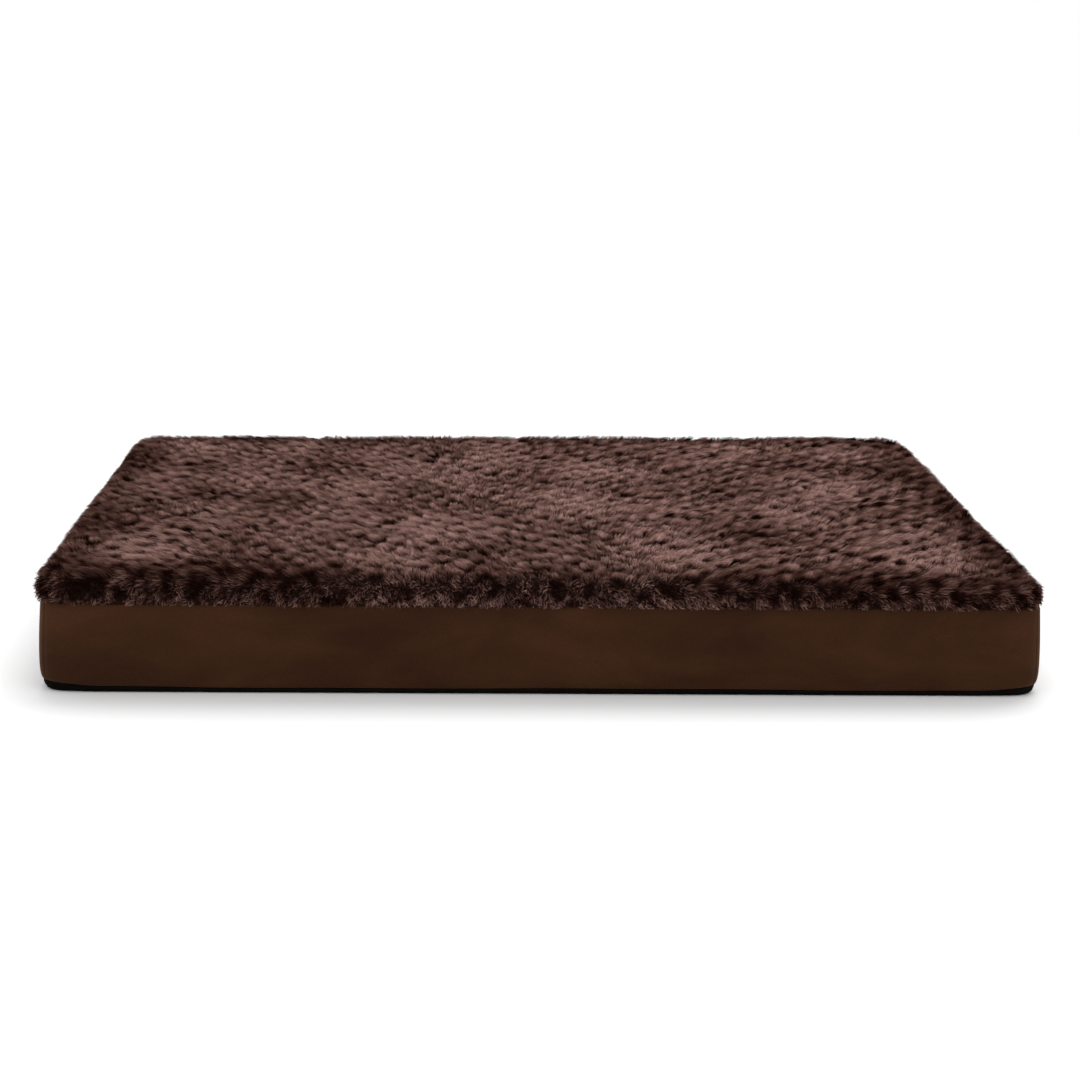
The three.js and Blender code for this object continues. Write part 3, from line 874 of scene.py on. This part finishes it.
foam = {
    "step": 9 * mm,
    "radius": 20 * mm,
    "edge": 9 * mm,  # rounding of the slab's lower edge
    "cornerEdge": 6 * mm,  # and this much more at the corners
    "rim": 15 * mm,  # rounding of the topper's upper edge
    "pressed": 1.5 * mm,  # how far the cover presses the peaks
    "crateWave": 64 * mm,
    "crateDepth": 22 * mm,
    # the darker and lighter colour of each foam, and the size of its cells
    "slabLook": ((0.62, 0.58, 0.47), (0.74, 0.70, 0.58), 1.6 * mm),
    "topperLook": ((0.72, 0.64, 0.36), (0.84, 0.77, 0.50), 2.0 * mm),
}


def foamBlock(name, node, material, top, bottom):
    # two grids over a rounded rectangle, one for each face, joined round their rims
    low, high = (np.array(v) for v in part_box(node))
    half = high[:2]
    p, rows, columns = flatGrid(half, foam["step"])
    distance, outward = roundedDistance(p, half, foam["radius"])
    p = p - outward * np.maximum(distance, 0)[:, None]
    distance = np.minimum(distance, 0)
    upper = np.concatenate([p, top(p, distance, high[2])[:, None]], 1)
    lower = np.concatenate([p, bottom(p, distance, low[2])[:, None]], 1)
    faces = gridFaces(rows, columns)
    index = np.arange(rows * columns).reshape(rows, columns)
    rim = np.concatenate([index[:-1, 0], index[-1, :-1], index[:0:-1, -1], index[0, :0:-1]])
    after = np.roll(rim, -1)
    total = rows * columns
    wall = np.stack([rim, after, after + total, rim + total], -1)
    piece = linkMesh(name, np.concatenate([upper, lower]),
                     np.concatenate([faces[:, ::-1], faces + total, wall[:, ::-1]]))
    finishPiece(piece, material, [node])


def flatFace(p, distance, height):
    return np.full(len(p), height)


def slabBottom(p, distance, height):
    # flat, with a quarter-circle rise round the edge, deeper at the corners
    radius = foam["edge"] + foam["cornerEdge"] * nearCorner(p)
    near = np.clip(1 + distance / radius, 0, 1)
    return height + radius * (1 - np.sqrt(1 - near ** 2))


def crateTop(p, distance, height):
    # egg crate: the product of two cosines, which dies out at the rounded rim
    turns = 2 * np.pi / foam["crateWave"]
    crate = 0.5 - 0.5 * np.cos(turns * p[:, 0]) * np.cos(turns * p[:, 1])
    near = np.clip(1 + distance / foam["rim"], 0, 1)
    pressed = foam["pressed"] + foam["rim"] * (1 - np.sqrt(1 - near ** 2))
    sunk = np.maximum(-fullness(p[:, 0], p[:, 1]), 0)  # pressed down with the cover
    return height - pressed - sunk - foam["crateDepth"] * crate * (1 - near ** 2)


zipper = {
    "pitch": 1.6 * mm,  # of the coil
    "wire": 0.40 * mm,  # radius of its monofilament
    "near": 0.42 * mm,  # from the centre line to the heads
    "lean": 0.45 * mm,
    "stitch": 3.0 * mm,
    "stitchPitch": 3.9 * mm,
    "thread": 0.3 * mm,
    "rowAbove": 2.4 * mm,  # the upper row of stitches over the opening
    "rowBelow": 5.6 * mm,  # the lower row over the ground
    "tack": (10 * mm, 27 * mm, 0.75 * mm),  # a bar tack's foot, top and pitch
    "tackAway": 2.2 * mm,  # from the end of the opening
    "edgeRound": 0.22 * mm,
}


def tubeAlong(path, radius, sides):
    # a tube with this many sides along a path of points, narrowed almost to nothing at both ends
    tangent = unit(np.gradient(path, axis=0))
    side = unit(np.cross(tangent, [0.3, 0.2, 1.0]))
    lift = np.cross(side, tangent)
    turn = 2 * np.pi * np.arange(sides) / sides
    ring = np.cos(turn)[:, None] * side[:, None] + np.sin(turn)[:, None] * lift[:, None]
    reach = np.full(len(path), radius)
    reach[[0, -1]] = radius * 0.02
    points = path[:, None] + ring * reach[:, None, None]
    return points.reshape(-1, 3), tubeFaces(len(path), sides)


def zipperCoil(place, side, material):
    # a helix flattened to the coil's box, its turns leaning a little towards the closed end
    low, high = (np.array(v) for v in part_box("zipper_coil_" + place))
    turns = int((high[0] - low[0]) / zipper["pitch"])
    phase = np.linspace(0, turns, turns * 8 + 1)
    around = 2 * np.pi * phase
    inner = zipper["near"] + zipper["wire"]
    outer = max(abs(low[2] - zipHeight), abs(high[2] - zipHeight)) - zipper["wire"]
    middle, half = (inner + outer) / 2, (outer - inner) / 2
    square = np.cos(around) * (1.12 - 0.12 * np.cos(around) ** 2)  # a little flatter at the heads
    z = zipHeight + side * (middle - half * square)
    deep = (high[1] - low[1]) / 2 - zipper["wire"]
    y = (low[1] + high[1]) / 2 + deep * np.sin(around)
    x = low[0] + (phase + (0.5 if side < 0 else 0)) / (turns + 0.5) * (high[0] - low[0])
    x = x + zipper["lean"] * np.cos(around)
    points, quads = tubeAlong(np.stack([x, y, z], -1), zipper["wire"], 4)
    piece = linkMesh("coil_" + place, points, quads)
    finishPiece(piece, material, ["zipper_coil_" + place])


def stitchRow(name, middles, material):
    # a row of short threads along x, each an arch that stands a thread's height off the cloth
    directions = np.tile([1.0, 0, 0], (len(middles), 1))
    share = np.array([-1, -0.55, 0, 0.55, 1.0])
    lift = zipper["thread"] * np.array([-1.2, 0.5, 0.85, 0.5, -1.2])
    half = zipper["stitch"] / 2
    out = np.array([0.0, 1, 0])
    path = middles[:, None] + directions[:, None] * (half * share)[:, None] + out * lift[:, None]
    side = np.cross(directions, out)
    turn = 2 * np.pi * np.arange(4) / 4
    ring = np.cos(turn)[:, None] * side[:, None, :] + np.sin(turn)[:, None] * out
    reach = zipper["thread"] * np.array([0.3, 0.9, 1, 0.9, 0.3])
    points = path[:, :, None] + ring[:, None] * reach[:, None, None]
    one = np.concatenate([tubeFaces(5, 4), [[0, 1, 2, 3], [19, 18, 17, 16]]])
    piece = linkMesh(name, points.reshape(-1, 3), repeatFaces(one, 20, len(middles)))
    finishPiece(piece, material)


def zipperStitching(material):
    # one row above the opening, one along the base cloth below it, and close stitches at each end
    half = suede["mouthHalf"] - 2 * mm
    x = np.arange(-half, half, zipper["stitchPitch"])
    face = suedeHalf[1]
    for name, z, y in (("above", suede["mouthTop"] + zipper["rowAbove"], face + 0.15 * mm),
                       ("below", zipper["rowBelow"], face - 0.4 * mm)):
        middles = np.stack([x, np.full_like(x, y), np.full_like(x, z)], -1)
        stitchRow(f"stitches_{name}_zipper", middles, material)
    z = np.arange(*zipper["tack"])
    for name, side in (("left", -1), ("right", 1)):
        end = side * (suede["mouthHalf"] + zipper["tackAway"])
        middles = np.stack([np.full_like(z, end), np.full_like(z, face), z], -1)
        stitchRow("bar_tack_" + name, middles, material)


def roundedCopy(name, node, body, material):
    # the CAD part with its edges rounded over
    shape = bmesh.new()
    shape.from_mesh(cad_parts[node].data)
    bmesh.ops.remove_doubles(shape, verts=shape.verts, dist=1e-6)
    flat = math.radians(2)
    bmesh.ops.dissolve_limit(shape, angle_limit=flat, verts=shape.verts, edges=shape.edges)
    mesh = bpy.data.meshes.new(name)
    shape.to_mesh(mesh)
    shape.free()
    mesh.polygons.foreach_set("use_smooth", np.full(len(mesh.polygons), True))
    piece = placeObject(name, mesh)
    rounded = piece.modifiers.new("rounded", "BEVEL")
    rounded.width = zipper["edgeRound"]
    rounded.segments = 2
    rounded.limit_method = "ANGLE"
    rounded.angle_limit = math.radians(35)
    rounded.harden_normals = True
    finishPiece(piece, material, [node], body)


view = {
    "place": (-0.1076, -2.8937, 0.7165),
    "yaw": 2.346,  # degrees to the right
    "pitch": 12.427,  # down
    "roll": 0.933,
    "lens": 77.15,  # millimetres, on a sensor 36 mm wide
}


def makeCamera():
    # the camera looks along `forward`, from its yaw and pitch, then rolls about that line
    data = bpy.data.cameras.new("camera")
    data.lens = view["lens"]
    data.sensor_width = 36
    camera = placeObject("camera", data)
    camera.location = view["place"]
    camera.rotation_mode = "XYZ"
    yaw, pitch, roll = (math.radians(view[k]) for k in ("yaw", "pitch", "roll"))
    ahead = math.cos(pitch)
    forward = np.array([math.sin(yaw) * ahead, math.cos(yaw) * ahead, -math.sin(pitch)])
    right = np.array([math.cos(yaw), -math.sin(yaw), 0])
    up = np.cross(right, forward)
    turnedRight = math.cos(roll) * right + math.sin(roll) * up
    turnedUp = math.cos(roll) * up - math.sin(roll) * right
    camera.rotation_euler = Matrix([turnedRight, turnedUp, -forward]).transposed().to_euler("XYZ")
    bpy.context.scene.camera = camera


studio = {
    "world": 1.0,
    "floor": 0.94,
    "floorHalf": 14,
    "sun": 1.6,
    "sunTurn": (-38, 12),  # degrees, tipped back and turned
    "sunSpread": 50,
}


def makeStudio():
    # a pale floor, an even white world and one high soft sun
    size = studio["floorHalf"]
    corners = size * np.array([[-1.0, -1, 0], [1, -1, 0], [1, 1, 0], [-1, 1, 0]])
    floor = linkMesh("floor", corners, [[0, 1, 2, 3]], smooth=False)
    material, tree = newMaterial("paleFloor", 0.9, specular=0.1)
    colour = tree.nodes["Principled BSDF"].inputs["Base Color"]
    colour.default_value = (studio["floor"],) * 3 + (1,)
    floor.data.materials.append(material)
    world = bpy.data.worlds.new("studio")
    world.use_nodes = True
    world.node_tree.nodes["Background"].inputs["Color"].default_value = (1, 1, 1, 1)
    world.node_tree.nodes["Background"].inputs["Strength"].default_value = studio["world"]
    bpy.context.scene.world = world
    bpy.context.scene.view_settings.view_transform = "Standard"
    data = bpy.data.lights.new("highSun", "SUN")
    data.energy = studio["sun"]
    data.angle = math.radians(studio["sunSpread"])
    sun = placeObject("highSun", data)
    sun.rotation_euler = [math.radians(v) for v in (*studio["sunTurn"], 0)]


makeCamera()
makeStudio()

raiseCap()
plushBacking(backingMaterial())
pileTiles(pileMaterial())
print("plush done")

sheets = [sideSheet(turn) for turn in range(4)]
sheets = puffSides(sheets)
suedePanels(suedeMaterial(), sheets)
baseCloth(baseMaterial(), sheets)
print("suede and base done")

slabFoam = foamMaterial("slabFoam", *foam["slabLook"])
topperFoam = foamMaterial("topperFoam", *foam["topperLook"])
foamBlock("foam_slab", "support_foam", slabFoam, flatFace, slabBottom)
foamBlock("foam_topper", "egg_crate_topper", topperFoam, crateTop, flatFace)
print("foam done")

tape, enamel = tapeMaterial(), enamelMaterial()
thread = threadMaterial("sewingThread", 0.6, 500.0, (0.035, 0.016, 0.009), (0.075, 0.036, 0.022),
                        sheen=0.2, specular=0.3)
coil = threadMaterial("zipperCoil", 0.35, 40.0, (0.014, 0.008, 0.005), (0.024, 0.013, 0.009),
                      specular=0.5)
for name in ("zipper_tape_upper", "zipper_tape_lower"):
    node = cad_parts[name]
    node.data.materials.clear()
    node.data.materials.append(tape)
zipperCoil("upper", 1, coil)
zipperCoil("lower", -1, coil)
zipperStitching(thread)
for name in ("top_stop_upper", "top_stop_lower", "bottom_stop"):
    roundedCopy(name + "_rounded", "zipper_" + name, root, enamel)
roundedCopy("slider_rounded", "zipper_slider", "slider", enamel)
roundedCopy("pull_rounded", "zipper_pull", "pull", enamel)
print("zipper done")
